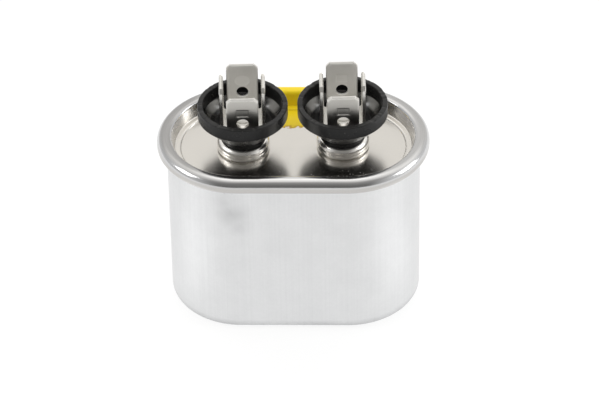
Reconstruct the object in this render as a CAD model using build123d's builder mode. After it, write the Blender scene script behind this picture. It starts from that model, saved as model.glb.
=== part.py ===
"""Oval motor run capacitor: drawn can, double-seamed lid, two cupped quick-connect terminals.

Millimetres. +Z is up, the can stands on z = 0 and its oval is centred on the origin,
with the long way along X. The terminals are at -X (left) and +X (right).
"""
import os
from math import atan2, cos, radians, sin, tan

from build123d import *

# Can: an oval cup drawn from sheet
can_width = 51.1
can_depth = 29.5
can_sheet = 0.5
can_corner = 2.0

# Double seam: the lid's rim folded over the can's flange
seam_top = 39.25
seam_gap = 0.05
hook_slack = 0.3
hook_leg = 0.35
hook_end_gap = 0.2
shoulder_flat = 0.2
flange_radius = 0.3
lip_radius = 0.9
heel_radius = 0.6

# Lid: recessed panel with a narrow ledge round its edge
lid_sheet = 0.5
ledge_depth = 3.05
ledge_width = 1.15
panel_drop = 0.3
panel_step_radius = 0.3
panel_step_tuck = 0.1
wall_lean = 0.65
wall_foot_radius = 0.5
panel_margin = 0.8

# Terminals: two, on a line turned a little from the oval's long way
cup_gap = 1.9
terminal_turn = 2.1

# Collars raised from the lid, rolled in over the cups' feet
collar_height = 2.5
collar_bore = 4.75
collar_wall = 0.35
collar_belly = 0.25
collar_belly_height = 0.6
collar_crease = 0.02
collar_crease_height = 1.25
collar_shoulder = 0.12
collar_shoulder_drop = 0.345
collar_lip = 0.35
collar_lip_in = 0.25
collar_roll = 0.28

# Terminal cups: moulded, on a stepped neck
cup_radius = 9.05
cup_wall = 1.1
cup_ring = 2.7
cup_depth = 5.1
cup_cone = 2.2
cup_edge = 0.25
cup_floor_sheet = 1.85
cup_floor_margin = 0.57
neck_clearance = 0.1
neck_step_width = 0.6
neck_step_height = 1.45
foot_clearance = 0.1
foot_height = 1.6

# Gaskets, washers and lugs that seal and carry each terminal
gasket_clearance = 0.05
washer_radius = 7.0
washer_sheet = 1.0
lug_radius = 3.2
lug_sheet = 0.6
lug_tongue_width = 4.0

# Blades: two U stampings in each cup, one across the other
blade_width = 6.35
blade_sheet = 0.8
blade_bend = 1.0
blade_reach = 5.55
blade_corner_gap = 1.355
face_spread = 0.9
side_spread = 0.05
tip_bevel = 0.28
tip_corner = 0.8
detent_radius = 1.2
detent_below_tip = 6.3
coin_above_detent = 2.7
coin_width = 2.7
coin_height = 2.05
coin_depth = 0.12
coin_oval_width = 3.4
coin_oval_height = 2.7

# Rivets
rivet_radius = 1.25
rivet_clearance = 0.05
rivet_head_radius = 2.0
rivet_head_height = 0.8
rivet_head_margin = 1.15
rivet_dome = 0.5
clinch_radius = 2.2
clinch_height = 0.8

# Winding, its liner, spacer and leads
liner_gap = 0.3
liner_sheet = 0.4
liner_headroom = 3.9
winding_gap = 1.6
winding_edge = 0.6
spacer_sheet = 1.0
spacer_clearance = 0.5
lead_width = 3.0
lead_sheet = 0.3
lead_bend = 0.8
lead_rise = 6.6
lead_inset = 2.75
lead_side_gap = 0.45
lead_solder_reach = 6.0
lead_lug_reach = 2.0
lead_stand_off = 2.0

# Seam levels and offsets, measured outwards from the can's outer wall
lid_half = lid_sheet / 2
can_half = can_sheet / 2
seam_overhang = 2 * lid_sheet + can_sheet + 2 * seam_gap + hook_slack
shoulder_radius = seam_overhang - shoulder_flat
hook_radius = shoulder_radius - lid_sheet - seam_gap - can_half
flange_level = seam_top - lid_sheet - seam_gap - can_half
hook_end = flange_level - hook_radius - hook_leg
seam_bottom = hook_end - hook_end_gap - lid_sheet
can_hook = seam_overhang - lid_sheet - seam_gap - can_half
lid_hook = seam_gap + lid_half
chuck_wall = -can_sheet - seam_gap - lid_half
ledge_level = seam_top - ledge_depth - lid_half
wall_foot = chuck_wall - wall_lean
panel_step = wall_foot - ledge_width
panel_rim = panel_step - panel_step_radius + panel_step_tuck
panel_edge = panel_rim - panel_margin
panel_top = seam_top - ledge_depth - panel_drop
panel_under = panel_top - lid_sheet
panel_level = panel_top - lid_half

# Terminal radii and places
terminal_spacing = 2 * cup_radius + cup_gap
collar_foot = collar_bore + collar_wall
collar_mouth = collar_bore - collar_lip_in
neck_radius = collar_mouth - neck_clearance
neck_step_radius = neck_radius + neck_step_width
rivet_hole = rivet_radius + rivet_clearance
face_foot = (blade_width + blade_sheet) / 2 + blade_corner_gap
face_tip = face_foot + face_spread
side_foot = rivet_head_radius + blade_bend + rivet_head_margin
side_tip = side_foot + side_spread
cup_floor_radius = face_foot + blade_sheet / 2 + cup_floor_margin

# Terminal levels
collar_top = panel_top + collar_height
foot_top = panel_under + foot_height
neck_step = collar_top + neck_step_height
cup_floor = neck_step + cup_floor_sheet
cup_top = cup_floor + cup_depth
ring_under = cup_top - cup_ring
face_base = cup_floor + blade_sheet / 2
side_base = face_base + blade_sheet
stack_top = cup_floor + 2 * blade_sheet
blade_tip = cup_top + blade_reach
detent_level = blade_tip - detent_below_tip
coin_level = detent_level + coin_above_detent
face_lean = atan2(face_spread, blade_tip - face_base)
coin_offset = face_foot + (coin_level - face_base) * tan(face_lean)
head_top = stack_top + rivet_head_height
dome_radius = (rivet_head_radius**2 + rivet_dome**2) / (2 * rivet_dome)
washer_under = panel_under - washer_sheet
lug_under = washer_under - lug_sheet

# Inside the can
liner_width = can_width - 2 * (can_sheet + liner_gap)
liner_depth = can_depth - 2 * (can_sheet + liner_gap)
liner_half = liner_sheet / 2
liner_floor = can_sheet + liner_sheet
liner_top = panel_under - liner_headroom
winding_width = liner_width - 2 * (liner_sheet + winding_gap)
winding_depth = liner_depth - 2 * (liner_sheet + winding_gap)
winding_bottom = liner_floor + lead_sheet
winding_top = lug_under - lead_rise
lead_half = lead_sheet / 2
lead_left = lead_inset - winding_width / 2
lead_right = winding_width / 2 + lead_side_gap + lead_half
lug_end = -lead_left - lead_stand_off
lug_tongue_reach = lug_end - terminal_spacing / 2
window_start = lead_left - lead_half - spacer_clearance
window_end = -lug_end + lead_solder_reach + spacer_clearance
window_width = lead_width + 2 * spacer_clearance

os.makedirs("parts", exist_ok=True)


def oval(width, depth):
    """Closed oval of two half circles and two straights, begun at the middle of its front."""
    radius = depth / 2
    half_straight = width / 2 - radius
    Line((0, -radius), (half_straight, -radius))
    CenterArc((half_straight, 0), radius, -90, 180)
    Line((half_straight, radius), (-half_straight, radius))
    CenterArc((-half_straight, 0), radius, 90, 180)
    Line((-half_straight, -radius), (0, -radius))


def wall_section(depth):
    """Plane across the front wall of an oval: x outwards from the oval, y up."""
    return Plane(origin=(0, -depth / 2, 0), x_dir=(0, -1, 0), z_dir=(-1, 0, 0))


def terminal_seat(sign, level):
    """Plane of a terminal at a level, its x along the line of the terminals."""
    along = Vector(cos(radians(terminal_turn)), sin(radians(terminal_turn)), 0)
    place = along * (sign * terminal_spacing / 2) + Vector(0, 0, level)
    return Plane(origin=place, x_dir=along, z_dir=(0, 0, 1))


def across(seat):
    """Upright plane through a seat, its x along the seat's x."""
    return Plane(origin=seat.origin, x_dir=seat.x_dir, z_dir=-seat.y_dir)


def through(seat):
    """Upright plane through a seat, its x along the seat's y."""
    return Plane(origin=seat.origin, x_dir=seat.y_dir, z_dir=seat.x_dir)


# Can: floor, wall, flange and the hook that the seam folds down over it
with BuildPart() as can:
    with BuildSketch():
        SlotOverall(can_width - 2 * can_corner, can_depth - 2 * can_corner)
    extrude(amount=can_sheet)
    with BuildLine():
        oval(can_width, can_depth)
    with BuildSketch(wall_section(can_depth)):
        with BuildLine():
            FilletPolyline(
                (-can_corner - can_sheet, can_half),
                (-can_half, can_half),
                (-can_half, flange_level),
                (can_hook, flange_level),
                (can_hook, hook_end),
                radius=(can_corner - can_half, flange_radius, hook_radius),
            )
        trace(line_width=can_sheet)
    sweep()
can.part.label = "can"
export_step(can.part, "parts/can.step")

# Lid: panel, ledge, leaning wall and the rim rolled over and under the can's hook,
# with two collars raised from the panel
with BuildPart() as lid:
    with BuildSketch(Plane.XY.offset(panel_under)):
        SlotOverall(can_width + 2 * panel_rim, can_depth + 2 * panel_rim)
    extrude(amount=lid_sheet)
    with BuildLine():
        oval(can_width, can_depth)
    with BuildSketch(wall_section(can_depth)):
        with BuildLine():
            FilletPolyline(
                (panel_edge, panel_level),
                (panel_rim, panel_level),
                (panel_step, ledge_level),
                (wall_foot, ledge_level),
                (chuck_wall, seam_top - lid_half),
                (seam_overhang - lid_half, seam_top - lid_half),
                (seam_overhang - lid_half, seam_bottom + lid_half),
                (lid_hook, seam_bottom + lid_half),
                (lid_hook, flange_level - can_half - hook_slack),
                radius=(
                    panel_step_radius,
                    panel_step_radius,
                    wall_foot_radius,
                    lip_radius - lid_half,
                    shoulder_radius - lid_half,
                    heel_radius - lid_half,
                    flange_radius,
                ),
            )
        trace(line_width=lid_sheet)
    sweep()
    for sign in (-1, 1):
        seat = terminal_seat(sign, panel_top)
        with BuildSketch(terminal_seat(sign, panel_under)):
            Circle(collar_bore)
        extrude(amount=lid_sheet, mode=Mode.SUBTRACT)
        with BuildSketch(across(seat)):
            with BuildLine():
                Polyline(
                    (collar_foot, 0),
                    (collar_foot, -lid_sheet),
                    (collar_bore, -lid_sheet),
                    (collar_bore, collar_height - collar_lip - collar_roll),
                    (collar_mouth, collar_height - collar_lip),
                    (collar_mouth, collar_height),
                )
                ThreePointArc(
                    (collar_mouth, collar_height),
                    (collar_foot - collar_shoulder, collar_height - collar_shoulder_drop),
                    (collar_foot + collar_crease, collar_crease_height),
                )
                ThreePointArc(
                    (collar_foot + collar_crease, collar_crease_height),
                    (collar_foot + collar_belly, collar_belly_height),
                    (collar_foot, 0),
                )
            make_face()
        revolve(axis=Axis(seat.origin, (0, 0, 1)))
lid.part.label = "lid"
export_step(lid.part, "parts/lid.step")

for side, sign in (("left", -1), ("right", 1)):
    base = terminal_seat(sign, 0)
    axis = Axis(base.origin, (0, 0, 1))

    # Cup: foot under the collar's lip, stepped neck, cone and ring
    with BuildPart() as cup:
        with BuildSketch(across(base)):
            with BuildLine():
                Polyline(
                    (rivet_hole, panel_under),
                    (collar_bore - foot_clearance, panel_under),
                    (collar_bore - foot_clearance, foot_top),
                    (neck_radius, foot_top),
                    (neck_radius, neck_step),
                    (neck_step_radius, neck_step),
                    (cup_radius, ring_under),
                    (cup_radius, cup_top),
                    (cup_radius - cup_wall, cup_top),
                    (cup_radius - cup_wall, cup_floor + cup_cone),
                    (cup_floor_radius, cup_floor),
                    (rivet_hole, cup_floor),
                    close=True,
                )
            make_face()
            fillet(vertices().group_by(Axis.Y)[-1], cup_edge)
        revolve(axis=axis)
    cup.part.label = f"terminal_cup_{side}"
    export_step(cup.part, f"parts/terminal_cup_{side}.step")

    # Gasket: ring between the cup's foot and the collar's lip
    with BuildPart() as gasket:
        with BuildSketch(terminal_seat(sign, foot_top)):
            Circle(collar_bore - gasket_clearance)
            Circle(neck_radius + gasket_clearance, mode=Mode.SUBTRACT)
        extrude(amount=collar_top - collar_lip - collar_roll - foot_top - gasket_clearance)
    gasket.part.label = f"gasket_{side}"
    export_step(gasket.part, f"parts/gasket_{side}.step")

    # Insulating washer under the lid, and the solder lug under it
    with BuildPart() as washer:
        with BuildSketch(terminal_seat(sign, washer_under)):
            Circle(washer_radius)
            Circle(rivet_hole, mode=Mode.SUBTRACT)
        extrude(amount=washer_sheet)
    washer.part.label = f"insulating_washer_{side}"
    export_step(washer.part, f"parts/insulating_washer_{side}.step")

    with BuildPart() as lug:
        with BuildSketch(terminal_seat(sign, lug_under)):
            Circle(lug_radius)
            with Locations((sign * lug_tongue_reach / 2, 0)):
                Rectangle(lug_tongue_reach, lug_tongue_width)
            Circle(rivet_hole, mode=Mode.SUBTRACT)
        extrude(amount=lug_sheet)
    lug.part.label = f"solder_lug_{side}"
    export_step(lug.part, f"parts/solder_lug_{side}.step")

    # Face blades: the lower U, with the front and back blades, each with a shallow coined mark
    with BuildPart() as face_blades:
        with BuildSketch(through(base)):
            with BuildLine():
                FilletPolyline(
                    (-face_tip, blade_tip),
                    (-face_foot, face_base),
                    (face_foot, face_base),
                    (face_tip, blade_tip),
                    radius=blade_bend,
                )
            trace(line_width=blade_sheet)
            chamfer(vertices().sort_by(Axis.Y)[-4:], tip_bevel)
        extrude(amount=blade_width / 2, both=True)
        with BuildSketch(across(base)):
            with Locations((0, (cup_floor + blade_tip) / 2)):
                Rectangle(blade_width, blade_tip - cup_floor + blade_sheet)
            chamfer(vertices().group_by(Axis.Y)[-1], tip_corner + blade_sheet / 2)
            with Locations((0, detent_level)):
                Circle(detent_radius, mode=Mode.SUBTRACT)
        extrude(amount=2 * face_tip, both=True, mode=Mode.INTERSECT)
        with BuildSketch(terminal_seat(sign, cup_floor)):
            Circle(rivet_hole)
        extrude(amount=blade_sheet, mode=Mode.SUBTRACT)
        for facing in (-1, 1):
            normal = base.y_dir * -cos(face_lean) + Vector(0, 0, facing * sin(face_lean))
            middle = base.origin + base.y_dir * (facing * coin_offset) + Vector(0, 0, coin_level)
            coin_floor = middle + normal * (blade_sheet / 2 - coin_depth)
            with BuildSketch(Plane(origin=coin_floor, x_dir=base.x_dir, z_dir=normal)):
                if facing > 0 and sign < 0:
                    Ellipse(coin_oval_width / 2, coin_oval_height / 2)
                else:
                    Rectangle(coin_width, coin_height)
            extrude(amount=blade_sheet, mode=Mode.SUBTRACT)
    face_blades.part.label = f"face_blades_{side}"
    export_step(face_blades.part, f"parts/face_blades_{side}.step")

    # Side blades: the upper U, crossed over the first
    with BuildPart() as side_blades:
        with BuildSketch(across(base)):
            with BuildLine():
                FilletPolyline(
                    (-side_tip, blade_tip),
                    (-side_foot, side_base),
                    (side_foot, side_base),
                    (side_tip, blade_tip),
                    radius=blade_bend,
                )
            trace(line_width=blade_sheet)
            chamfer(vertices().sort_by(Axis.Y)[-4:], tip_bevel)
        extrude(amount=blade_width / 2, both=True)
        with BuildSketch(through(base)):
            with Locations((0, (cup_floor + blade_tip) / 2)):
                Rectangle(blade_width, blade_tip - cup_floor + blade_sheet)
            chamfer(vertices().group_by(Axis.Y)[-1], tip_corner + blade_sheet / 2)
            with Locations((0, detent_level)):
                Circle(detent_radius, mode=Mode.SUBTRACT)
        extrude(amount=2 * side_tip, both=True, mode=Mode.INTERSECT)
        with BuildSketch(terminal_seat(sign, cup_floor + blade_sheet)):
            Circle(rivet_hole)
        extrude(amount=blade_sheet, mode=Mode.SUBTRACT)
    side_blades.part.label = f"side_blades_{side}"
    export_step(side_blades.part, f"parts/side_blades_{side}.step")

    # Rivet: domed head on the stampings, clinched under the lug
    with BuildPart() as rivet:
        with BuildSketch(across(base)):
            with BuildLine():
                Polyline(
                    (0, head_top),
                    (0, lug_under - clinch_height),
                    (clinch_radius, lug_under - clinch_height),
                    (clinch_radius, lug_under),
                    (rivet_radius, lug_under),
                    (rivet_radius, stack_top),
                    (rivet_head_radius, stack_top),
                    (rivet_head_radius, head_top - rivet_dome),
                )
                RadiusArc((rivet_head_radius, head_top - rivet_dome), (0, head_top), -dome_radius)
            make_face()
        revolve(axis=axis)
    rivet.part.label = f"terminal_rivet_{side}"
    export_step(rivet.part, f"parts/terminal_rivet_{side}.step")

# Liner: insulating cup in the can
with BuildPart() as liner:
    with BuildSketch(Plane.XY.offset(can_sheet)):
        SlotOverall(liner_width - 2 * can_corner, liner_depth - 2 * can_corner)
    extrude(amount=liner_sheet)
    with BuildLine():
        oval(liner_width, liner_depth)
    with BuildSketch(wall_section(liner_depth)):
        with BuildLine():
            FilletPolyline(
                (-can_corner - can_sheet, can_sheet + liner_half),
                (-liner_half, can_sheet + liner_half),
                (-liner_half, liner_top),
                radius=can_corner - liner_half,
            )
        trace(line_width=liner_sheet)
    sweep()
liner.part.label = "liner"
export_step(liner.part, "parts/liner.step")

# Winding: flat-wound film roll standing on its sprayed end
with BuildPart() as winding:
    with BuildSketch(Plane.XY.offset(winding_bottom)):
        SlotOverall(winding_width, winding_depth)
    extrude(amount=winding_top - winding_bottom)
    chamfer(faces().filter_by(Axis.Z).edges(), winding_edge)
winding.part.label = "winding"
export_step(winding.part, "parts/winding.step")

# Leads: soldered to the winding's two ends, run up to the lugs
lead_runs = {
    "left": (
        (-lug_end + lead_solder_reach, winding_top + lead_half),
        (lead_left, winding_top + lead_half),
        (lead_left, lug_under - lead_half),
        (-lug_end + lead_lug_reach, lug_under - lead_half),
    ),
    "right": (
        (lead_right - lead_solder_reach, winding_bottom - lead_half),
        (lead_right, winding_bottom - lead_half),
        (lead_right, lug_under - lead_half),
        (lug_end - lead_lug_reach, lug_under - lead_half),
    ),
}
for side, run in lead_runs.items():
    with BuildPart() as lead:
        with BuildSketch(Plane.XZ):
            with BuildLine():
                FilletPolyline(*run, radius=lead_bend)
            trace(line_width=lead_sheet)
        extrude(amount=lead_width / 2, both=True)
    lead.part.label = f"lead_{side}"
    export_step(lead.part, f"parts/lead_{side}.step")

# Top spacer: insulating plate on the winding, with a window for the left lead
with BuildPart() as spacer:
    with BuildSketch(Plane.XY.offset(winding_top)):
        SlotOverall(winding_width - 2 * winding_edge, winding_depth - 2 * winding_edge)
        with Locations(((window_start + window_end) / 2, 0)):
            Rectangle(window_end - window_start, window_width, mode=Mode.SUBTRACT)
    extrude(amount=spacer_sheet)
spacer.part.label = "top_spacer"
export_step(spacer.part, "parts/top_spacer.step")
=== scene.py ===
"""Oval motor run capacitor: a drawn can, a seamed lid and two cupped quick-connect terminals."""
from math import atan2, copysign, cos, pi, radians, sin, tan

import bmesh
import bpy
import numpy as np
from mathutils import Matrix, Vector


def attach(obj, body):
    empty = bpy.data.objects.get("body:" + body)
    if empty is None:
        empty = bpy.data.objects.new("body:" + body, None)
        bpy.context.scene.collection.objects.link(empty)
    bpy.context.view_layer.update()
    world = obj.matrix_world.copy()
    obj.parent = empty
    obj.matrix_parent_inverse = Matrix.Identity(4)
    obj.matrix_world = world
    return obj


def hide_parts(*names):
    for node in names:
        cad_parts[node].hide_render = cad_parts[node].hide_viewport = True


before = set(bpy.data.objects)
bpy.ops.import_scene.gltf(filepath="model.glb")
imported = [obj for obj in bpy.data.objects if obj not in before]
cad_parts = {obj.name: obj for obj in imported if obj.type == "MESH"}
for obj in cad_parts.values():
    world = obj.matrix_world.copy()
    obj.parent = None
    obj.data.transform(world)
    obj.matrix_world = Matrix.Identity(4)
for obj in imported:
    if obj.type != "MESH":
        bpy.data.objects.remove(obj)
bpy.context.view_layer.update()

# Sealed pack: a flat film roll in a plastic liner, with pressed board above it and tinned leads
# soldered to its two ends. The seam closes it in, so the solids of the frame stay as they are
# and get the finish of film, board, plastic, rubber and tin.
mm = 0.001


def feed(tree, socket, value):
    """Sets a socket to a value, or links it to another socket."""
    if isinstance(value, bpy.types.NodeSocket):
        tree.links.new(value, socket)
    else:
        socket.default_value = value


def add(tree, kind, inputs=None, **settings):
    """One shader node with its settings, its inputs given by name."""
    made = tree.nodes.new("ShaderNode" + kind)
    for name, value in settings.items():
        setattr(made, name, value)
    for name, value in (inputs or {}).items():
        feed(tree, made.inputs[name], value)
    return made


def spread(tree, value, low, high, to_low, to_high):
    """Maps a value from low..high to to_low..to_high, held at the ends."""
    names = ("Value", "From Min", "From Max", "To Min", "To Max")
    return add(tree, "MapRange", dict(zip(names, (value, low, high, to_low, to_high)))).outputs[0]


def tint(tree, share, first, second):
    """The first colour where share is 0 and the second where it is 1."""
    return add(tree, "MixRGB", {"Fac": share, "Color1": first, "Color2": second}).outputs[0]


def effect(name, inputs, outputs):
    """An empty node group with named float inputs and outputs, and its two end nodes."""
    group = bpy.data.node_groups.new(name, "ShaderNodeTree")
    for label, value in inputs.items():
        socket = group.interface.new_socket(label, in_out="INPUT", socket_type="NodeSocketFloat")
        socket.default_value = value
    for label in outputs:
        group.interface.new_socket(label, in_out="OUTPUT", socket_type="NodeSocketFloat")
    return group, group.nodes.new("NodeGroupInput"), group.nodes.new("NodeGroupOutput")


def use(tree, group, **values):
    """Places an effect in a material with its own values."""
    made = tree.nodes.new("ShaderNodeGroup")
    made.node_tree = group
    for label, value in values.items():
        feed(tree, made.inputs[label], value)
    return made.outputs


def new_finish(name):
    """A node material, its tree and its surface shader."""
    made = bpy.data.materials.new(name)
    made.use_nodes = True
    return made, made.node_tree, made.node_tree.nodes["Principled BSDF"]


# Grain of a rolled or drawn sheet, by place: Lines is noise stretched along Z or left round,
# Clouds is broad handling marks, Specks is sparse small dots. The inputs are noise scales.
sheet_grain, grain_in, grain_out = effect(
    "sheet_grain",
    {"Across": 1500.0, "Along": 60.0, "Cloud": 120.0, "Speck": 900.0},
    ("Lines", "Clouds", "Specks"),
)
grain_scales = grain_in.outputs
grain_place = add(sheet_grain, "TexCoord").outputs["Object"]
line_scale = add(
    sheet_grain,
    "CombineXYZ",
    {"X": grain_scales["Across"], "Y": grain_scales["Across"], "Z": grain_scales["Along"]},
)
stretched = add(sheet_grain, "VectorMath", operation="MULTIPLY")
feed(sheet_grain, stretched.inputs[0], grain_place)
feed(sheet_grain, stretched.inputs[1], line_scale.outputs[0])
noises = {
    "Lines": {"Vector": stretched.outputs[0], "Scale": 1.0, "Detail": 4.0},
    "Clouds": {"Vector": grain_place, "Scale": grain_scales["Cloud"], "Detail": 3.0},
    "Specks": {"Vector": grain_place, "Scale": grain_scales["Speck"], "Detail": 1.0},
}
noises = {label: add(sheet_grain, "TexNoise", inputs).outputs["Fac"] for label, inputs in noises.items()}
feed(sheet_grain, grain_out.inputs["Lines"], noises["Lines"])
feed(sheet_grain, grain_out.inputs["Clouds"], spread(sheet_grain, noises["Clouds"], 0.35, 0.65, 0, 1))
feed(sheet_grain, grain_out.inputs["Specks"], spread(sheet_grain, noises["Specks"], 0.70, 0.76, 0, 1))


def hidden_finish(name, dark, light, rough=0.6, metal=0.0, across=900, along=900):
    """Finish of a piece inside the can: two tones along its grain."""
    made, tree, surface = new_finish(name)
    grain = use(tree, sheet_grain, Across=across, Along=along)
    feed(tree, surface.inputs["Base Color"], tint(tree, grain["Lines"], (*dark, 1), (*light, 1)))
    feed(tree, surface.inputs["Roughness"], spread(tree, grain["Clouds"], 0, 1, rough, rough + 0.15))
    surface.inputs["Metallic"].default_value = metal
    return made


film_roll = hidden_finish(
    "film_roll", (0.55, 0.55, 0.53), (0.78, 0.78, 0.76), rough=0.25, metal=0.6, across=3000, along=20
)
pressed_board = hidden_finish("pressed_board", (0.22, 0.12, 0.06), (0.42, 0.27, 0.15))
liner_film = hidden_finish(
    "liner_film", (0.78, 0.77, 0.71), (0.90, 0.89, 0.84), rough=0.4, across=400, along=60
)
lead_tin = hidden_finish("lead_tin", (0.62, 0.61, 0.58), (0.80, 0.79, 0.75), rough=0.25, metal=1.0)
gasket_rubber = hidden_finish("gasket_rubber", (0.02, 0.02, 0.02), (0.05, 0.05, 0.05))
inner_finishes = {"winding": film_roll, "liner": liner_film, "top_spacer": pressed_board}
for side in ("left", "right"):
    inner_finishes[f"insulating_washer_{side}"] = pressed_board
    inner_finishes[f"solder_lug_{side}"] = lead_tin
    inner_finishes[f"lead_{side}"] = lead_tin
    inner_finishes[f"gasket_{side}"] = gasket_rubber
for node, finish in inner_finishes.items():
    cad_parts[node].data.materials.clear()
    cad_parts[node].data.materials.append(finish)

# Can: an oval cup drawn from aluminium sheet, left bare. The drawing leaves faint upright lines
# on the wall, and handling leaves grey smudges. Its flange is folded into the lid's seam.
can_half_width = 25.55 * mm
can_end_radius = 14.75 * mm
can_sheet = 0.5 * mm
can_corner = 2.0 * mm
sway_depth = 0.05 * mm
sway_width = 4.1 * mm
sway_height = 6.3 * mm
sway_start = 1.0
sway_top = 35.0 * mm
sway_fade = 6.0 * mm
flange_level = 38.45 * mm
flange_radius = 0.3 * mm
hook_out = 1.1 * mm
hook_radius = 0.9 * mm
hook_end = 37.2 * mm
aluminium = (0.770, 0.775, 0.780, 1)
aluminium_dull_and_shade = (0.560, 0.565, 0.570, 1)
# Height of the painted shade at the foot of the wall.
foot_shade_height = 2.6 * mm
mark_fade = (-0.05 * mm, 0.12 * mm)
# Smudges on the front wall: x, height, reach and strength.
smudges = (
    (-13.4 * mm, 33.0 * mm, 4.6 * mm, 0.70),
    (-12.0 * mm, 29.8 * mm, 4.6 * mm, 1.00),
    (-10.5 * mm, 27.0 * mm, 3.6 * mm, 0.75),
)
# Scratches and nicks on the front wall: x, lowest and highest point, half width and strength.
can_marks = (
    (-13.4 * mm, 35.0 * mm, 35.3 * mm, 0.10 * mm, 1.0),
    (-11.9 * mm, 35.0 * mm, 35.2 * mm, 0.08 * mm, 0.9),
    (-13.5 * mm, 27.3 * mm, 35.0 * mm, 0.02 * mm, 0.25),
    (-17.3 * mm, 10.5 * mm, 23.6 * mm, 0.02 * mm, 0.20),
    (17.5 * mm, 13.1 * mm, 19.6 * mm, 0.02 * mm, 0.20),
    (-9.1 * mm, 2.1 * mm, 2.2 * mm, 0.30 * mm, 0.5),
    (9.5 * mm, 2.1 * mm, 2.2 * mm, 0.25 * mm, 0.5),
)


def rounded_line(points, radii, steps=9, spacing=None):
    """Straight runs joined by tangent arcs, as points and left normals.
    An arc of radius r at a corner that turns by t starts r * tan(t / 2) before the corner."""
    points = np.asarray(points, float)
    ahead = np.diff(points, axis=0)
    ahead /= np.linalg.norm(ahead, axis=1, keepdims=True)
    left = np.stack((-ahead[:, 1], ahead[:, 0]), axis=1)
    line, normals = [points[:1]], [left[:1]]
    for corner, radius, before, after, normal in zip(points[1:-1], radii, ahead, ahead[1:], left):
        turn = atan2(before[0] * after[1] - before[1] * after[0], before @ after)
        start = corner - before * radius * tan(abs(turn) / 2)
        centre = start + normal * copysign(radius, turn)
        angles = np.linspace(0, turn, steps)[:, None]
        normals.append(np.cos(angles) * normal - np.sin(angles) * before)
        line.append(centre - normals[-1] * copysign(radius, turn))
    line = np.concatenate(line + [points[-1:]])
    normals = np.concatenate(normals + [left[-1:]])
    if spacing:
        run = np.append(0, np.cumsum(np.linalg.norm(np.diff(line, axis=0), axis=1)))
        dense = np.union1d(run, np.arange(0, run[-1], spacing))
        line = np.stack([np.interp(dense, run, column) for column in line.T], axis=1)
        normals = np.stack([np.interp(dense, run, column) for column in normals.T], axis=1)
    return line, normals


def folded_sheet(points, radii, sheet, **settings):
    """Closed section of a bent sheet: its centre line moved half a sheet to each side."""
    line, normals = rounded_line(points, radii, **settings)
    return np.concatenate((line + normals * sheet / 2, (line - normals * sheet / 2)[::-1]))


def round_oval(section, straight_steps=40, end_steps=96):
    """A section of (offset, height) carried round the can's oval. The point at turn a and centre c
    is c + (end radius + offset) * (cos a, sin a): c runs along each straight, a round each end."""
    half = can_half_width - can_end_radius
    run = np.linspace(-half, half, straight_steps, endpoint=False)
    turn = np.linspace(-pi / 2, pi / 2, end_steps, endpoint=False)
    centre = np.concatenate((run, np.full(end_steps, half), -run, np.full(end_steps, -half)))[:, None]
    to_front, to_back = np.full(straight_steps, -pi / 2), np.full(straight_steps, pi / 2)
    angle = np.concatenate((to_front, turn, to_back, turn + pi))[:, None]
    reach = can_end_radius + section[None, :, 0]
    x = centre + reach * np.cos(angle)
    y = reach * np.sin(angle)
    return np.stack((x, y, np.broadcast_to(section[None, :, 1], x.shape)), axis=2)


def quads(rows, columns, first, wrap_rows=True, wrap_columns=True):
    """Corner numbers of the quads of a grid, closed round where it wraps."""
    row_starts = np.arange(rows if wrap_rows else rows - 1)
    column_starts = np.arange(columns if wrap_columns else columns - 1)
    row, column = np.meshgrid(row_starts, column_starts, indexing="ij")
    next_row, next_column = (row + 1) % rows, (column + 1) % columns
    corners = (
        row * columns + column,
        next_row * columns + column,
        next_row * columns + next_column,
        row * columns + next_column,
    )
    return first + np.stack(corners, axis=-1).reshape(-1, 4)


def make_piece(name, grids, finish, node, sharp=35):
    """One closed mesh from grids of points, on the root body in place of a frame node.
    A grid is (points, wraps along rows, wraps along columns), or has a value for each point too, of its
    matt finish and painted light."""
    points, faces, matt_and_light_values, first = [], [], [], 0
    for grid, wrap_rows, wrap_columns, *matt_and_painted_light in grids:
        faces.append(quads(*grid.shape[:2], first, wrap_rows, wrap_columns))
        points.append(grid.reshape(-1, 3))
        matt_and_light_values.append(matt_and_painted_light[0].ravel() if matt_and_painted_light else np.zeros(len(points[-1])))
        first += len(points[-1])
    mesh = bpy.data.meshes.new(name)
    mesh.from_pydata(np.concatenate(points), [], np.concatenate(faces))
    mesh.attributes.new("matt_and_painted_light", "FLOAT", "POINT").data.foreach_set("value", np.concatenate(matt_and_light_values))
    shape = bmesh.new()
    shape.from_mesh(mesh)
    bmesh.ops.remove_doubles(shape, verts=shape.verts, dist=0.0005 * mm)
    bmesh.ops.recalc_face_normals(shape, faces=shape.faces)
    shape.to_mesh(mesh)
    shape.free()
    mesh.shade_smooth()
    mesh.set_sharp_from_angle(angle=radians(sharp))
    mesh.materials.append(finish)
    made = bpy.data.objects.new(name, mesh)
    bpy.context.scene.collection.objects.link(made)
    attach(made, "root")
    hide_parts(node)
    return made


def sums(tree, operation, first, second=0.0, third=0.0):
    """One arithmetic step on up to three values."""
    made = add(tree, "Math", operation=operation)
    for socket, value in zip(made.inputs, (first, second, third)):
        feed(tree, socket, value)
    return made.outputs[0]


def times(tree, product, *others):
    """The product of two or more values."""
    for other in others:
        product = sums(tree, "MULTIPLY", product, other)
    return product


def whereabouts(tree):
    """The place of a surface point in the frame, as a vector and as x, y and z."""
    place = add(tree, "TexCoord").outputs["Object"]
    parts = add(tree, "SeparateXYZ", {"Vector": place}).outputs
    return place, parts["X"], parts["Y"], parts["Z"]


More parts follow.
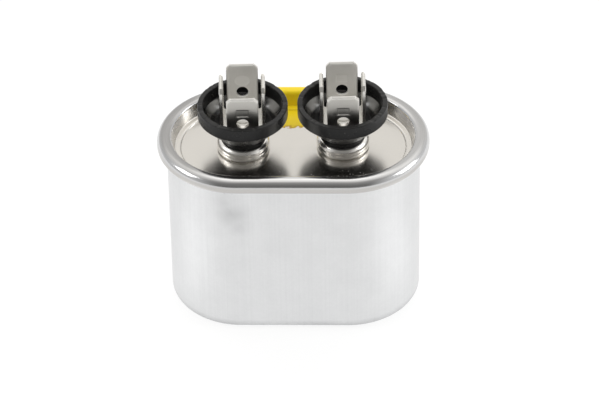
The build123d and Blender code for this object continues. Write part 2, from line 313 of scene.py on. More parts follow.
can_finish, tree, surface = new_finish("can_aluminium")
grain = use(tree, sheet_grain, Across=2600.0, Along=18.0, Cloud=190.0, Speck=1400.0)
place, x, y, z = whereabouts(tree)
uneven = spread(tree, grain["Clouds"], 0, 1, 0.45, 1)
dulling_and_shade = times(tree, grain["Clouds"], 0.12)
for smudge_x, smudge_z, smudge_reach, smudge_share in smudges:
    smudge_from = add(tree, "VectorMath", operation="DISTANCE")
    feed(tree, smudge_from.inputs[0], place)
    smudge_from.inputs[1].default_value = (smudge_x, -can_end_radius, smudge_z)
    smudge = spread(tree, smudge_from.outputs["Value"], 0, smudge_reach, smudge_share, 0)
    dulling_and_shade = sums(tree, "MAXIMUM", dulling_and_shade, times(tree, smudge, uneven))
# Painted shade: the wall is darker towards its foot.
foot_shade = spread(tree, z, 0.4 * foot_shade_height, foot_shade_height, 1.2, 0)
dulling_and_shade = sums(tree, "MAXIMUM", dulling_and_shade, times(tree, foot_shade, uneven))
on_front = sums(tree, "LESS_THAN", y)
for mark_x, mark_low, mark_high, mark_half, mark_share in can_marks:
    beside = sums(tree, "ABSOLUTE", sums(tree, "SUBTRACT", x, mark_x))
    beyond = sums(tree, "ABSOLUTE", sums(tree, "SUBTRACT", z, (mark_low + mark_high) / 2))
    beyond = sums(tree, "SUBTRACT", beyond, (mark_high - mark_low) / 2)
    away = sums(tree, "MAXIMUM", sums(tree, "SUBTRACT", beside, mark_half), beyond)
    mark = times(tree, spread(tree, away, *mark_fade, mark_share, 0), on_front)
    dulling_and_shade = sums(tree, "MAXIMUM", dulling_and_shade, mark)
lined = tint(tree, spread(tree, grain["Lines"], 0.3, 0.7, 0, 0.10), aluminium, aluminium_dull_and_shade)
mottle = add(tree, "TexNoise", {"Vector": place, "Scale": 1500.0, "Detail": 5.0, "Roughness": 0.7})
mottle = spread(tree, mottle.outputs["Fac"], 0.3, 0.7, 0, 0.14)
mottled = tint(tree, mottle, lined, aluminium_dull_and_shade)
feed(tree, surface.inputs["Base Color"], tint(tree, dulling_and_shade, mottled, aluminium_dull_and_shade))
feed(tree, surface.inputs["Roughness"], spread(tree, grain["Lines"], 0.3, 0.7, 0.37, 0.43))
surface.inputs["Metallic"].default_value = 1.0
can_bump = add(tree, "Bump", {"Height": grain["Lines"], "Strength": 0.03, "Distance": 0.02 * mm})
feed(tree, surface.inputs["Normal"], can_bump.outputs[0])

can_line = (
    (-can_end_radius, can_sheet / 2),
    (-can_sheet / 2, can_sheet / 2),
    (-can_sheet / 2, flange_level),
    (hook_out, flange_level),
    (hook_out, hook_end),
)
can_radii = (can_corner - can_sheet / 2, flange_radius, hook_radius)
can_wall = round_oval(folded_sheet(can_line, can_radii, can_sheet, spacing=1.0 * mm))
wall_x, wall_z = can_wall[..., 0], can_wall[..., 2]
sway = np.sin(wall_x / sway_width) * np.sin(wall_z / sway_height + sway_start)
upright = np.clip(np.minimum(wall_z - can_corner, sway_top - wall_z) / sway_fade, 0, 1)
can_wall[..., 1] += sway_depth * sway * upright
make_piece("can_body", [(can_wall, True, True)], can_finish, "can")

# Lid: pressed from tinplate and seamed to the can. Its rim is rolled over the can's flange, and
# the panel lies in a recess with a narrow ledge. A stripe of yellow paint marks the back.
lid_sheet = 0.5 * mm
seam_top = 39.25 * mm
seam_bottom = 36.5 * mm
seam_out = 1.9 * mm
shoulder_radius = 1.7 * mm
lip_radius = 0.9 * mm
heel_radius = 0.6 * mm
curl_out = 0.3 * mm
curl_end = 37.65 * mm
chuck_wall = -0.8 * mm
wall_foot = -1.45 * mm
wall_foot_radius = 0.5 * mm
ledge_level = 35.95 * mm
panel_step = -2.6 * mm
panel_rim = -2.8 * mm
panel_step_radius = 0.3 * mm
panel_join = -3.6 * mm
panel_level = 35.65 * mm
panel_top = panel_level + lid_sheet / 2
terminal_reach = 10.0 * mm
terminal_turn = radians(2.1)
terminal_line = np.array((cos(terminal_turn), sin(terminal_turn), 0.0))
terminals = {"left": -terminal_reach * terminal_line, "right": terminal_reach * terminal_line}
# Collar, as radius and height above the panel.
collar_bore = 4.75 * mm
collar_mouth = 4.5 * mm
collar_height = 2.5 * mm
collar_shoulder = (5.04 * mm, 2.09 * mm)
collar_crease = (5.27 * mm, 1.10 * mm)
collar_bulge = (5.35 * mm, 0.60 * mm)
collar_foot = 5.1 * mm
collar_lip_low = 1.87 * mm
collar_lip_high = 2.15 * mm
collar_zone = 8.0 * mm
tinplate = (0.680, 0.660, 0.625, 1)
tinplate_dull = (0.480, 0.464, 0.440, 1)
collar_painted_light_tone = (0.930, 0.910, 0.870, 1)
rim_crown_painted_shade = (0.325, 0.322, 0.318, 1)
rim_steel = (0.735, 0.735, 0.737, 1)
rim_steel_dull = (0.525, 0.525, 0.527, 1)
rim_side_painted_shade = (0.530, 0.515, 0.495, 1)
rim_shade_from = 13.0 * mm
rim_shade_full = 21.0 * mm
dust_tone = (0.700, 0.690, 0.660, 1)
dust_from = -7.0 * mm
dust_full = -10.0 * mm
paint = (1.000, 0.750, 0.014, 1)
paint_fringe = (0.480, 0.200, 0.010, 1)
paint_front = 6.15 * mm
paint_back = 16.25 * mm
paint_half_width = 4.6 * mm
paint_ragged = 0.4 * mm
paint_fringe_width = 0.9 * mm


def revolve(section, axis, steps=160):
    """A section of (radius, height) turned about an upright axis."""
    angle = np.linspace(0, 2 * pi, steps, endpoint=False)[:, None]
    x = axis[0] + section[None, :, 0] * np.cos(angle)
    y = axis[1] + section[None, :, 0] * np.sin(angle)
    return np.stack((x, y, np.broadcast_to(section[None, :, 1], x.shape)), axis=2)


def arc_through(first, middle, last, steps=14):
    """Points of the circle through three points, from the first to the last."""
    (ax, ay), (bx, by), (cx, cy) = first, middle, last
    double = 2 * (ax * (by - cy) + bx * (cy - ay) + cx * (ay - by))
    squares = (ax**2 + ay**2, bx**2 + by**2, cx**2 + cy**2)
    centre_x = (squares[0] * (by - cy) + squares[1] * (cy - ay) + squares[2] * (ay - by)) / double
    centre_y = (squares[0] * (cx - bx) + squares[1] * (ax - cx) + squares[2] * (bx - ax)) / double
    turns = np.unwrap([atan2(y - centre_y, x - centre_x) for x, y in (first, middle, last)])
    angle = np.linspace(turns[0], turns[2], steps)
    radius = np.hypot(ax - centre_x, ay - centre_y)
    return np.stack((centre_x + radius * np.cos(angle), centre_y + radius * np.sin(angle)), axis=1)


def half_panel(axis, sign, steps=240, rings=26):
    """Half of the flat panel round one collar: at turn a the point runs from the collar's bore
    to the panel's edge, which is the nearer of the middle line, a straight side and the round end."""
    half, edge = can_half_width - can_end_radius, can_end_radius + panel_join
    corners = [atan2(way * edge - axis[1], -axis[0]) for way in (-1, 1)]
    angle = np.sort(np.append(np.linspace(-pi, pi, steps, endpoint=False), corners))
    across, along = np.cos(angle), np.sin(angle)
    with np.errstate(divide="ignore"):
        to_side = (np.copysign(edge, along) - axis[1]) / along
        to_middle = np.where(across * sign < 0, -axis[0] / across, np.inf)
    gap = axis[0] - sign * half
    dot = gap * across + axis[1] * along
    to_end = -dot + np.sqrt(dot**2 - gap**2 - axis[1] ** 2 + edge**2)
    past_end = (axis[0] + to_side * across) * sign > half
    reach = np.minimum(np.where(past_end, to_end, to_side), to_middle)
    share = np.linspace(0, 1, rings)[None, :]
    distance = collar_bore + share * (reach[:, None] - collar_bore)
    x, y = axis[0] + distance * across[:, None], axis[1] + distance * along[:, None]
    top = np.stack((x, y, np.full_like(x, panel_top)), axis=2)
    under = np.stack((x, y, np.full_like(x, panel_top - lid_sheet)), axis=2)[:, ::-1]
    return np.concatenate((top, under), axis=1)


def facing_up(tree):
    """How far a surface point faces up: the z of its normal, from -1 to 1."""
    normal = add(tree, "NewGeometry").outputs["Normal"]
    return add(tree, "SeparateXYZ", {"Vector": normal}).outputs["Z"]


lid_line = (
    (panel_join, panel_level),
    (panel_rim, panel_level),
    (panel_step, ledge_level),
    (wall_foot, ledge_level),
    (chuck_wall, seam_top - lid_sheet / 2),
    (seam_out - lid_sheet / 2, seam_top - lid_sheet / 2),
    (seam_out - lid_sheet / 2, seam_bottom + lid_sheet / 2),
    (curl_out, seam_bottom + lid_sheet / 2),
    (curl_out, curl_end),
)
lid_radii = (
    panel_step_radius,
    panel_step_radius,
    wall_foot_radius,
    lip_radius - lid_sheet / 2,
    shoulder_radius - lid_sheet / 2,
    heel_radius - lid_sheet / 2,
    flange_radius,
)
lid_grids = [(round_oval(folded_sheet(lid_line, lid_radii, lid_sheet, steps=14)), True, True)]
collar_section = np.concatenate((
    arc_through((collar_mouth, collar_height), collar_shoulder, collar_crease),
    arc_through(collar_crease, collar_bulge, (collar_foot, 0.0))[1:],
    [
        (collar_foot, -lid_sheet / 2),
        (collar_bore, -lid_sheet / 2),
        (collar_bore, collar_lip_low),
        (collar_mouth, collar_lip_high),
    ],
))
collar_section[:, 1] += panel_top
for side, sign in (("left", -1), ("right", 1)):
    lid_grids.append((half_panel(terminals[side], sign), True, True))
    lid_grids.append((revolve(collar_section, terminals[side]), True, True))

lid_finish, tree, surface = new_finish("lid_tinplate")
grain = use(tree, sheet_grain, Across=900.0, Along=900.0, Cloud=110.0, Speck=3000.0)
place, x, y, z = whereabouts(tree)
level = facing_up(tree)
from_middle = sums(tree, "ABSOLUTE", x)
past_end = sums(tree, "SUBTRACT", from_middle, can_half_width - can_end_radius)
past_end = sums(tree, "MAXIMUM", past_end)
from_line = add(tree, "CombineXYZ", {"X": past_end, "Y": y}).outputs[0]
from_line = add(tree, "VectorMath", {"Vector": from_line}, operation="LENGTH").outputs["Value"]
rim_start = can_end_radius + wall_foot
on_rim = spread(tree, from_line, rim_start, rim_start + 0.4 * mm, 0, 1)
on_panel = spread(tree, z, panel_top + 0.05 * mm, panel_top + 0.15 * mm, 1, 0)
on_collar = sums(tree, "LESS_THAN", from_line, collar_zone)
on_collar = times(tree, on_collar, spread(tree, z, panel_top, panel_top + 0.3 * mm, 0, 1))

# Paint: a brushed stripe with ragged edges and a brown fringe at its front.
ragged = add(tree, "TexNoise", {"Vector": place, "Scale": 1100.0, "Detail": 3.0}).outputs["Fac"]
ragged = spread(tree, ragged, 0.3, 0.7, -paint_ragged, paint_ragged)
past_front = sums(tree, "SUBTRACT", sums(tree, "ADD", y, ragged), paint_front)
before_back = sums(tree, "SUBTRACT", paint_back, sums(tree, "MULTIPLY_ADD", ragged, 0.15, y))
inside_ends = sums(tree, "SUBTRACT", paint_half_width, from_middle)
inside_ends = sums(tree, "MULTIPLY_ADD", ragged, 0.6, inside_ends)
inside = sums(tree, "MINIMUM", sums(tree, "MINIMUM", past_front, before_back), inside_ends)
painted = spread(tree, inside, -0.05 * mm, 0.10 * mm, 0, 1)
fringe = times(tree, spread(tree, past_front, 0, paint_fringe_width, 0.9, 0), grain["Clouds"])
paint_tone = tint(tree, fringe, paint, paint_fringe)

# Metal: warm on the panel, painted light on the collars, grey on the rim with lines from the
# rollers, and painted shade on the rim's steep faces and its crowns at the two ends. Dust lies
# on the panel's front.
metal_tone = tint(tree, times(tree, grain["Clouds"], 0.12), tinplate, tinplate_dull)
# Painted light: a lighter tone on the collars, which brightens their reflections.
metal_tone = tint(tree, on_collar, metal_tone, collar_painted_light_tone)
roller_place = add(tree, "CombineXYZ", {"X": times(tree, from_line, 60.0), "Y": x}).outputs[0]
rolled = add(tree, "TexNoise", {"Vector": roller_place, "Scale": 60.0, "Detail": 3.0}).outputs["Fac"]
rim_tone = tint(tree, spread(tree, rolled, 0.3, 0.7, 0.2, 0.75), rim_steel, rim_steel_dull)
metal_tone = tint(tree, on_rim, metal_tone, rim_tone)
# Painted shade: the rim's steep and downward faces are darker and warmer.
on_shaded_rim_side = times(tree, spread(tree, level, 0.05, 0.30, 0.85, 0), on_rim)
metal_tone = tint(tree, on_shaded_rim_side, metal_tone, rim_side_painted_shade)
# Painted shade: the rim's crown is darker towards its two ends, and more so at the left.
on_crown = times(tree, spread(tree, level, 0.70, 0.92, 0, 1), on_rim)
at_ends = spread(tree, from_middle, rim_shade_from, rim_shade_full, 0, 0.8)
more_left = spread(tree, x, -rim_shade_from, rim_shade_from, 1, 0.55)
metal_tone = tint(tree, times(tree, on_crown, at_ends, more_left), metal_tone, rim_crown_painted_shade)
dusty = times(tree, spread(tree, y, dust_from, dust_full, 0.15, 1), on_panel, grain["Specks"])
metal_tone = tint(tree, dusty, metal_tone, dust_tone)

feed(tree, surface.inputs["Base Color"], tint(tree, painted, metal_tone, paint_tone))
feed(tree, surface.inputs["Metallic"], spread(tree, sums(tree, "MAXIMUM", painted, dusty), 0, 1, 1, 0))
surface.inputs["Specular IOR Level"].default_value = 0.3
rough = spread(tree, on_rim, 0, 1, 0.24, 0.16)
rough = sums(tree, "MULTIPLY_ADD", on_panel, -0.07, rough)
rough = sums(tree, "MULTIPLY_ADD", grain["Clouds"], 0.05, rough)
rough = sums(tree, "MAXIMUM", rough, times(tree, dusty, 0.8))
rough = sums(tree, "MAXIMUM", rough, times(tree, painted, 0.32))
feed(tree, surface.inputs["Roughness"], rough)
lid_bump = add(tree, "Bump", {"Height": grain["Lines"], "Strength": 0.03, "Distance": 0.03 * mm})
feed(tree, surface.inputs["Normal"], lid_bump.outputs[0])
make_piece("lid_end", lid_grids, lid_finish, "lid")

# Terminal cups: moulded in black plastic, a deep ring on a cone and a stepped neck, which keeps
# fingers and dirt off the blades. The lid's collar is rolled over a foot on the neck.
cup_radius = 9.05 * mm
cup_inner = 7.95 * mm
cup_top = 46.8 * mm
cup_floor = 41.7 * mm
cup_floor_radius = 5.9 * mm
cup_cone_top = 43.9 * mm
ring_under = 44.1 * mm
neck_radius = 4.4 * mm
neck_step_radius = 5.0 * mm
neck_step = 39.85 * mm
foot_radius = 4.65 * mm
foot_under = 35.4 * mm
foot_top = 37.0 * mm
rivet_hole = 1.3 * mm
foot_edge = 0.1 * mm
neck_edge = 0.2 * mm
step_edge = 0.12 * mm
cup_edge = 0.25 * mm
cone_top_edge = 0.6 * mm
cone_foot_edge = 0.5 * mm
hole_edge = 0.05 * mm
nick_count = 26
nick_depth = 0.16 * mm
nick_reach = 0.3 * mm
nick_turns = (0.02, 0.05)
nick_shares = (0.2, 1.0)
plastic = (0.016, 0.016, 0.016, 1)
plastic_dusty = (0.070, 0.068, 0.065, 1)
plastic_painted_sheen = (0.420, 0.415, 0.400, 1)
cone_sheen_low = 42.4 * mm
# Turns and half width of the painted highlight patches on each inner cone.
sheen_turns = (radians(147.0), radians(34.0))
sheen_half_turn = radians(13.0)
cup_line = (
    (rivet_hole, foot_under),
    (foot_radius, foot_under),
    (foot_radius, foot_top),
    (neck_radius, foot_top),
    (neck_radius, neck_step),
    (neck_step_radius, neck_step),
    (cup_radius, ring_under),
    (cup_radius, cup_top),
    (cup_inner, cup_top),
    (cup_inner, cup_cone_top),
    (cup_floor_radius, cup_floor),
    (rivet_hole, cup_floor),
    (rivet_hole, foot_under),
)
cup_radii = (
    foot_edge,
    foot_edge,
    foot_edge,
    neck_edge,
    step_edge,
    cup_edge,
    cup_edge,
    cup_edge,
    cone_top_edge,
    cone_foot_edge,
    hole_edge,
)


def turn_from(angle, turn):
    """How far an angle is turned from another, at most half a circle either way."""
    return np.angle(np.exp(1j * (angle - turn)))


cup_finish, tree, surface = new_finish("cup_plastic")
grain = use(tree, sheet_grain, Across=700.0, Along=700.0, Cloud=260.0, Speck=2600.0)
z = whereabouts(tree)[-1]
level = facing_up(tree)
on_ring_top = spread(tree, z, cup_top - 1.0 * mm, cup_top - 0.4 * mm, 0, 1)
settled = times(tree, spread(tree, level, 0.5, 0.95, 0, 0.16), on_ring_top, grain["Clouds"])
dust = sums(tree, "MAXIMUM", settled, grain["Specks"])
dust_on = tint(tree, dust, plastic, plastic_dusty)
# Painted highlight: the attribute marks lighter patches on the inner cone that stand in for reflections
# of the lamps.
painted_sheen_share = add(tree, "Attribute", attribute_name="matt_and_painted_light").outputs["Fac"]
painted_sheen_share = times(tree, painted_sheen_share, spread(tree, grain["Clouds"], 0, 1, 0.6, 1))
feed(tree, surface.inputs["Base Color"], tint(tree, painted_sheen_share, dust_on, plastic_painted_sheen))
above_low = spread(tree, z, cone_sheen_low, cone_sheen_low + 0.15 * mm, 0, 1)
below_top = spread(tree, z, cup_cone_top, cup_cone_top + 0.2 * mm, 1, 0)
on_cone = times(tree, spread(tree, level, 0.2, 0.4, 0, 1), above_low, below_top)
matt = spread(tree, grain["Clouds"], 0, 1, 0.26, 0.38)
glossy = spread(tree, grain["Clouds"], 0, 1, 0.10, 0.16)
feed(tree, surface.inputs["Roughness"], spread(tree, on_cone, 0, 1, matt, glossy))
surface.inputs["Specular IOR Level"].default_value = 0.26
feed(tree, surface.inputs["Coat Weight"], on_cone)
surface.inputs["Coat Roughness"].default_value = 0.12
cup_bump = add(tree, "Bump", {"Height": grain["Lines"], "Strength": 0.08, "Distance": 0.04 * mm})
feed(tree, surface.inputs["Normal"], cup_bump.outputs[0])

nick_places = np.random.default_rng(7)
for side in ("left", "right"):
    line = rounded_line(cup_line, cup_radii, steps=8, spacing=0.5 * mm)[0]
    cup = revolve(line, terminals[side], steps=320)
    out = cup - terminals[side]
    angle = np.arctan2(out[..., 1], out[..., 0])
    nicks = np.zeros_like(angle)
    for turn, width, share in zip(
        nick_places.uniform(-pi, pi, nick_count),
        nick_places.uniform(*nick_turns, nick_count),
        nick_places.uniform(*nick_shares, nick_count),
    ):
        nicks += share * np.exp(-((turn_from(angle, turn) / width) ** 2))
    near_top = np.exp(-(((cup[..., 2] - cup_top) / nick_reach) ** 2))
    cup[..., 2] -= nick_depth * np.clip(nicks, 0, 1) * near_top
    # Painted highlight patches on the inner cone, at two turns round each cup.
    cone_sheen_patches = sum(np.exp(-((turn_from(angle, turn) / sheen_half_turn) ** 4)) for turn in sheen_turns)
    inside = np.hypot(out[..., 0], out[..., 1]) < cup_inner - 0.05 * mm
    cone_sheen_patches *= inside & (out[..., 2] > cone_sheen_low) & (out[..., 2] < cup_cone_top)
    cup_grid = (cup, True, True, cone_sheen_patches)
    make_piece(f"cup_{side}", [cup_grid], cup_finish, f"terminal_cup_{side}")

# Blades: stamped from tinned brass strip and bent to a U, two in each cup, one across the other.
# Each blade has bevelled tips, cut corners and a round detent, and the face blades a coined mark.
blade_half_width = 3.175 * mm
blade_sheet = 0.8 * mm
blade_bend = 1.0 * mm
blade_tip = 52.35 * mm
blade_edge = 0.32 * mm
blade_edge_drop = 0.13 * mm
detent_edge = 0.07 * mm
tip_bevel = 0.28 * mm
tip_zone = 1.05 * tip_bevel
tip_corner = 0.8 * mm
detent_radius = 1.2 * mm
detent_level = 46.05 * mm
coin_above = 2.7 * mm
coin_square = (1.35 * mm, 1.025 * mm)
coin_oval = (1.7 * mm, 1.35 * mm)
coin_depth = 0.07 * mm
coin_soft = 0.34 * mm
# Matt finish and painted light of a surface: 0 is bright tin, 1 is matt and pale, 2 is palest, and
# below 0 is painted shade, a darker and rougher tin.
matt_tin = 1.0
front_face_painted_shade = -0.7
coin_shine = {"oval": 0.9, "square": 0.3}
tinned = (0.780, 0.765, 0.725, 1)
tinned_bright = (0.960, 0.945, 0.905, 1)
tinned_dull_and_shade = (0.520, 0.505, 0.470, 1)
tip_dark_from = 46.5 * mm
tip_dark_full = 51.0 * mm
stampings = {
    "face": {"foot": 4.93 * mm, "spread": 0.9 * mm, "base": cup_floor + blade_sheet / 2},
    "side": {"foot": 4.15 * mm, "spread": 0.05 * mm, "base": cup_floor + 3 * blade_sheet / 2},
}


def to_outline(angle, planes):
    """Distance from the detent's centre to a convex outline, the nearest of its sides on the way."""
    reach = np.full_like(angle, np.inf)
    for normal, offset in planes:
        facing = normal[0] * np.cos(angle) + normal[1] * np.sin(angle)
        with np.errstate(divide="ignore"):
            reach = np.where(facing > 1e-9, np.minimum(reach, offset / facing), reach)
    return reach


def blade_sides(up, down, edge, bevel):
    """Sides of a blade about its detent, moved in by an edge, or by a bevel at the tip."""
    slope = np.array((1, 1)) / np.sqrt(2)
    cut = slope @ (blade_half_width - tip_corner / 2, up - tip_corner / 2) - edge
    return (
        ((1, 0), blade_half_width - edge),
        ((-1, 0), blade_half_width - edge),
        ((0, 1), up - bevel),
        ((0, -1), down),
        (slope, cut),
        (slope * (-1, 1), cut),
    )


def coin_share(coin, across, along):
    """How far a point is down the soft wall of a coined mark: 0 outside it, 1 on its floor.
    The wall is a smooth step over the distance to the mark's square or oval edge."""
    above = along - coin_above
    if coin == "square":
        depth = np.minimum(coin_square[0] - np.abs(across), coin_square[1] - np.abs(above))
    elif coin == "oval":
        depth = (1 - np.hypot(across / coin_oval[0], above / coin_oval[1])) * coin_oval[1]
    else:
        return np.zeros_like(across)
    sunk = np.clip(depth / coin_soft, 0, 1)
    return sunk * sunk * (3 - 2 * sunk)


def blade_leg(up, down, coin, fan=0.95, steps=(170, 110), rings=(46, 8), ring_split=0.66):
    """A flat blade about its detent as (across, along, out): at turn a the section runs from the
    detent's wall over the front to the outline, round the edge and back over the rear. Turns lie
    closer in a fan about the tip, and rings closer near the detent, for the coined mark."""
    corners = [(side * blade_half_width, y) for side in (-1, 1) for y in (up - tip_corner, -down)]
    corners += [(side * (blade_half_width - tip_corner), up) for side in (-1, 1)]
    corners = np.array(corners)
    turns = (
        np.arctan2(corners[:, 1], corners[:, 0]),
        np.linspace(pi / 2 - fan, pi / 2 + fan, steps[0], endpoint=False),
        np.linspace(pi / 2 + fan, 5 * pi / 2 - fan, steps[1], endpoint=False),
    )
    angle = np.sort(np.angle(np.exp(1j * np.concatenate(turns))))
    outer = to_outline(angle, blade_sides(up, down, 0, 0))
    inner = np.minimum(to_outline(angle, blade_sides(up, down, blade_edge, tip_bevel)), outer)
    half = blade_sheet / 2
    drop = np.where(outer - inner > 0.01 * mm, blade_edge_drop, 0)
    thin = half - np.where(up - inner * np.sin(angle) < tip_zone, tip_bevel, drop)
    near = np.linspace(0, ring_split, rings[0], endpoint=False)
    share = np.append(near, np.linspace(ring_split, 1, rings[1]))
    face = detent_radius + detent_edge + share * (inner[:, None] - detent_radius - detent_edge)
    wall = np.full((len(angle), 1), detent_radius)
    rim = outer[:, None]
    distance = np.concatenate((wall, face, rim, rim, face[:, ::-1], wall), axis=1)
    flat = np.full_like(face, half)
    lip = np.full_like(wall, half - detent_edge)
    out = np.concatenate((lip, flat, thin[:, None], -thin[:, None], -flat, -lip), axis=1)
    across, along = distance * np.cos(angle)[:, None], distance * np.sin(angle)[:, None]
    sunk = np.where(out > half / 2, coin_share(coin, across, along), 0)
    return across, along, out - coin_depth * sunk, sunk, distance == rim


blade_finish, tree, surface = new_finish("blade_tin")
grain = use(tree, sheet_grain, Across=700.0, Along=160.0, Cloud=420.0, Speck=2200.0)
z = whereabouts(tree)[-1]
matt_and_painted_light = add(tree, "Attribute", attribute_name="matt_and_painted_light").outputs["Fac"]
# Matt faces are darker and less pale towards the tips.
darker_to_tip = spread(tree, z, tip_dark_from, tip_dark_full, 0, 0.36)
darker_to_tip = times(tree, darker_to_tip, spread(tree, matt_and_painted_light, 0, 1, 0, 1))
wear_and_shade = sums(tree, "MULTIPLY_ADD", grain["Clouds"], 0.22, darker_to_tip)
wear_and_shade = sums(tree, "MAXIMUM", wear_and_shade, times(tree, grain["Specks"], 0.6))
# Painted shade: below 0, the tone goes to darker tin.
wear_and_shade = sums(tree, "MAXIMUM", wear_and_shade, spread(tree, matt_and_painted_light, -1, 0, 1, 0))
wear_and_shade_tone = tint(tree, wear_and_shade, tinned, tinned_dull_and_shade)
pale = sums(tree, "SUBTRACT", spread(tree, matt_and_painted_light, 0, 2, 0, 1.4), darker_to_tip)
feed(tree, surface.inputs["Base Color"], tint(tree, pale, wear_and_shade_tone, tinned_bright))
rough = spread(tree, grain["Lines"], 0.3, 0.7, 0.24, 0.32)
rough = sums(tree, "MULTIPLY_ADD", sums(tree, "ABSOLUTE", matt_and_painted_light), 0.10, rough)
feed(tree, surface.inputs["Roughness"], rough)
feed(tree, surface.inputs["Metallic"], spread(tree, matt_and_painted_light, 0, 1, 0.98, 0.06))
blade_bump = add(tree, "Bump", {"Height": grain["Lines"], "Strength": 0.02, "Distance": 0.03 * mm})
feed(tree, surface.inputs["Normal"], blade_bump.outputs[0])

to_back = np.array((-sin(terminal_turn), cos(terminal_turn), 0.0))
upward = np.array((0.0, 0.0, 1.0))
strip_edge = blade_half_width - blade_edge
strip_half = blade_sheet / 2
strip_side = strip_half - blade_edge_drop
strip_section = np.array((
    (-strip_edge, -strip_half),
    (strip_edge, -strip_half),
    (blade_half_width, -strip_side),
    (blade_half_width, strip_side),
    (strip_edge, strip_half),
    (-strip_edge, strip_half),
    (-blade_half_width, strip_side),
    (-blade_half_width, -strip_side),
))
for side in ("left", "right"):
    for kind, size in stampings.items():
        on_face = kind == "face"
        across_way, out_way = (terminal_line, to_back) if on_face else (to_back, terminal_line)
        lean = atan2(size["spread"], blade_tip - size["base"])
        rise = (detent_level - size["base"]) / cos(lean)
        up = (blade_tip - detent_level) / cos(lean)
        down = rise - blade_bend * tan((pi / 2 - lean) / 2)
        base = terminals[side] + upward * size["base"]
        grids = []
        for facing in (-1, 1):
            leg_up = upward * cos(lean) + out_way * facing * sin(lean)
            leg_out = out_way * cos(lean) - upward * facing * sin(lean)
            middle = base + out_way * facing * size["foot"] + leg_up * rise
            front = -1 if on_face else 1
            coin = None
            if on_face:
                coin = "oval" if side == "left" and facing > 0 else "square"
            across, along, out, sunk, at_edge = blade_leg(up, down, coin)
            matt_and_painted_light = np.zeros_like(out)
            if on_face:
                # The back blade's seen face is matt, and paler in its coined mark; the front blade's
                # seen face gets painted shade.
                seen_matt_and_shade = matt_tin + coin_shine[coin] * sunk if facing > 0 else front_face_painted_shade
                matt_and_painted_light = np.where(up - along < tip_zone, matt_tin, ((out > 0) & ~at_edge) * seen_matt_and_shade)
            leg = middle + across[..., None] * across_way + along[..., None] * leg_up
            grids.append((leg + out[..., None] * leg_out * front, True, True, matt_and_painted_light))
        strip_line = (
            (-size["foot"] - rise * sin(lean), size["base"] + rise * cos(lean)),
            (-size["foot"], size["base"]),
            (size["foot"], size["base"]),
            (size["foot"] + rise * sin(lean), size["base"] + rise * cos(lean)),
        )
        line, normals = rounded_line(strip_line, (blade_bend, blade_bend), steps=12)
        line, normals = line[1:-1, None, :], normals[1:-1, None, :]
        bent = line + normals * strip_section[None, :, 1:]
        strip = terminals[side] + bent[..., :1] * out_way + bent[..., 1:] * upward
        strip = strip + strip_section[None, :, :1] * across_way
        upper_side = np.broadcast_to(strip_section[:, 1] > 0, strip.shape[:2]) * matt_tin
        grids.append((strip, False, True, upper_side))
        for end in (strip[0], strip[-1]):
            end_middle = np.broadcast_to(end.mean(axis=0), end.shape)
            grids.append((np.stack((end, end_middle)), False, True))
        name = f"{kind}_blades"
        make_piece(f"{name}_on_{side}", grids, blade_finish, f"{name}_{side}", sharp=25)

# Rivets: tinned brass, one through both stampings of a terminal, the cup and the lid, with a low
# domed head over the crossed strips.
rivet_head_radius = 2.0 * mm
rivet_head_side = 0.3 * mm
rivet_dome = 0.5 * mm
stack_top = cup_floor + 2 * blade_sheet
shank_end = 33.0 * mm
shank_radius = 1.25 * mm
clinch_radius = 2.2 * mm
clinch_top = 33.8 * mm
dome_radius = (rivet_head_radius**2 + rivet_dome**2) / (2 * rivet_dome)
dome_turn = np.linspace(np.arcsin(rivet_head_radius / dome_radius), 0, 16)
dome_top = stack_top + rivet_head_side + rivet_dome
dome = (dome_radius * np.sin(dome_turn), dome_top - dome_radius * (1 - np.cos(dome_turn)))
rivet_shank = (
    (0, shank_end),
    (clinch_radius, shank_end),
    (clinch_radius, clinch_top),
    (shank_radius, clinch_top),
    (shank_radius, stack_top),
    (rivet_head_radius, stack_top),
)
rivet_section = np.concatenate((rivet_shank, np.stack(dome, axis=1)))
for side in ("left", "right"):
    rivet = revolve(rivet_section, terminals[side], steps=96)
    rivet_grid = (rivet, True, False, np.full(rivet.shape[:2], matt_tin))
    make_piece(f"rivet_{side}", [rivet_grid], blade_finish, f"terminal_rivet_{side}")

# Studio: a white paper table that glows as if lit from below, with painted pools of light beside the
# can and just in front of it, in a room with a soft light overhead, pale walls at the sides and
# back, and no light in front.
table_half = 3.0
table_tone = (0.22, 0.22, 0.22, 1)
table_glow_front = 0.79
table_glow_back = 0.76
table_glow_close = 0.06
close_from, close_full = -60 * mm, -18 * mm
behind_from, behind_full = -10 * mm, 30 * mm
spot_place = (48 * mm, -19 * mm, 0)
spot_inner = 8 * mm
spot_outer = 26 * mm
spot_glow = 0.22
table_corners = [(x * table_half, y * table_half, 0) for x, y in ((-1, -1), (1, -1), (1, 1), (-1, 1))]
table_mesh = bpy.data.meshes.new("table")
table_mesh.from_pydata(table_corners, [], [(0, 1, 2, 3)])
table = bpy.data.objects.new("table", table_mesh)
bpy.context.scene.collection.objects.link(table)
table_finish, tree, surface = new_finish("table_white")
tree.nodes.remove(surface)
_, x, y, _ = whereabouts(tree)
from_spot = add(tree, "CombineXYZ", {"X": sums(tree, "ABSOLUTE", x), "Y": y})
from_spot = add(tree, "VectorMath", {"Vector": from_spot.outputs[0]}, operation="DISTANCE")
from_spot.inputs[1].default_value = spot_place
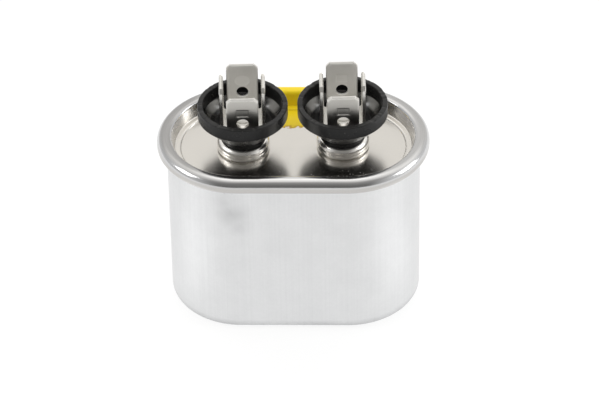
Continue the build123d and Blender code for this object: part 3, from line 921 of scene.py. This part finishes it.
# Painted pools of light: the table glows brighter beside the can and just in front of it.
beside = spread(tree, from_spot.outputs["Value"], spot_inner, spot_outer, spot_glow, 0)
close = spread(tree, y, close_from, close_full, 0, table_glow_close)
behind = spread(tree, y, behind_from, behind_full, table_glow_front, table_glow_back)
table_glow = sums(tree, "ADD", sums(tree, "ADD", beside, close), behind)
glow = add(tree, "Emission", {"Color": (1, 1, 1, 1), "Strength": table_glow})
paper = add(tree, "BsdfDiffuse", {"Color": table_tone})
lit_paper = add(tree, "AddShader")
feed(tree, lit_paper.inputs[0], glow.outputs[0])
feed(tree, lit_paper.inputs[1], paper.outputs[0])
feed(tree, tree.nodes["Material Output"].inputs["Surface"], lit_paper.outputs[0])
table_mesh.materials.append(table_finish)

# Room: its tone goes by the turn over the table, from 0 at the front to 1 at the back.
room_tones = (
    (0.0, 0.30),
    (0.03, 0.12),
    (0.165, 0.13),
    (0.25, 0.16),
    (0.33, 0.22),
    (0.41, 0.34),
    (0.49, 0.58),
    (0.58, 0.90),
    (0.64, 1.02),
    (0.70, 1.05),
    (0.745, 0.92),
    (0.785, 0.65),
    (0.85, 0.62),
    (1.0, 0.52),
)
room_warmth = (1.0, 0.985, 0.96)
room_strength = 1.5
wall_left = (0.43, 0.43, 0.43, 1)
wall_right = (0.50, 0.50, 0.50, 1)
world = bpy.data.worlds.new("studio")
bpy.context.scene.world = world
world.use_nodes = True
tree = world.node_tree
way = add(tree, "SeparateXYZ", {"Vector": add(tree, "TexCoord").outputs["Generated"]}).outputs
over_turn = sums(tree, "ARCTAN2", way["Z"], times(tree, way["Y"], -1.0))
ramp = add(tree, "ValToRGB", {"Fac": sums(tree, "DIVIDE", over_turn, pi)})
while len(ramp.color_ramp.elements) < len(room_tones):
    ramp.color_ramp.elements.new(0.5)
for element, (position, tone) in zip(ramp.color_ramp.elements, room_tones):
    element.position = position
    element.color = (*(tone * share for share in room_warmth), 1)
sideways = spread(tree, sums(tree, "ABSOLUTE", way["X"]), 0.45, 0.85, 0, 1)
wall_tone = tint(tree, sums(tree, "GREATER_THAN", way["X"]), wall_left, wall_right)
room = tint(tree, sideways, ramp.outputs["Color"], wall_tone)
studio = add(tree, "Background", {"Color": room, "Strength": room_strength})
feed(tree, tree.nodes["World Output"].inputs["Surface"], studio.outputs[0])

# Two square soft boxes, one at each side and above the can: name, place, side and radiance.
box_aim = Vector((0, 0, 40 * mm))
for box_name, box_place, box_side, box_radiance in (
    ("box_left", (-0.62, -0.10, 0.46), 0.30, 3.6),
    ("box_right", (0.70, -0.01, 0.35), 0.38, 3.0),
):
    box = bpy.data.lights.new(box_name, "AREA")
    box.size = box_side
    box.energy = box_radiance * pi * box_side**2
    lamp = bpy.data.objects.new(box_name, box)
    lamp.location = box_place
    lamp.rotation_euler = (box_aim - Vector(box_place)).to_track_quat("-Z", "Y").to_euler()
    bpy.context.scene.collection.objects.link(lamp)

# Camera: a long lens well above the lid, looking down at the front of the can. Its turns, distance
# and centre are those at which the outline of the can falls where it does in the photograph.
lens_rise = radians(38.422)
lens_swing = radians(1.885)
lens_roll = radians(-1.094)
lens_distance = 743.0 * mm
lens_target = Vector((0, 0, 20.0 * mm))
image_width = 600.0
focal_pixels = 3635.5
centre_right = -5.493
centre_down = 7.784
level_ahead = Vector((-sin(lens_swing), cos(lens_swing), 0))
level_right = Vector((cos(lens_swing), sin(lens_swing), 0))
forward = level_ahead * cos(lens_rise) - Vector((0, 0, sin(lens_rise)))
level_up = level_right.cross(forward)
rolled_right = level_right * cos(lens_roll) + level_up * sin(lens_roll)
rolled_up = level_up * cos(lens_roll) - level_right * sin(lens_roll)
lens = bpy.data.cameras.new("camera")
lens.sensor_width = 36.0
lens.lens = lens.sensor_width * focal_pixels / image_width
lens.shift_x = -centre_right / image_width
lens.shift_y = centre_down / image_width
camera = bpy.data.objects.new("camera", lens)
bpy.context.scene.collection.objects.link(camera)
turned = Matrix((rolled_right, rolled_up, -forward)).transposed()
camera.matrix_world = Matrix.Translation(lens_target - forward * lens_distance) @ turned.to_4x4()
bpy.context.scene.camera = camera
bpy.context.scene.view_settings.view_transform = "Standard"
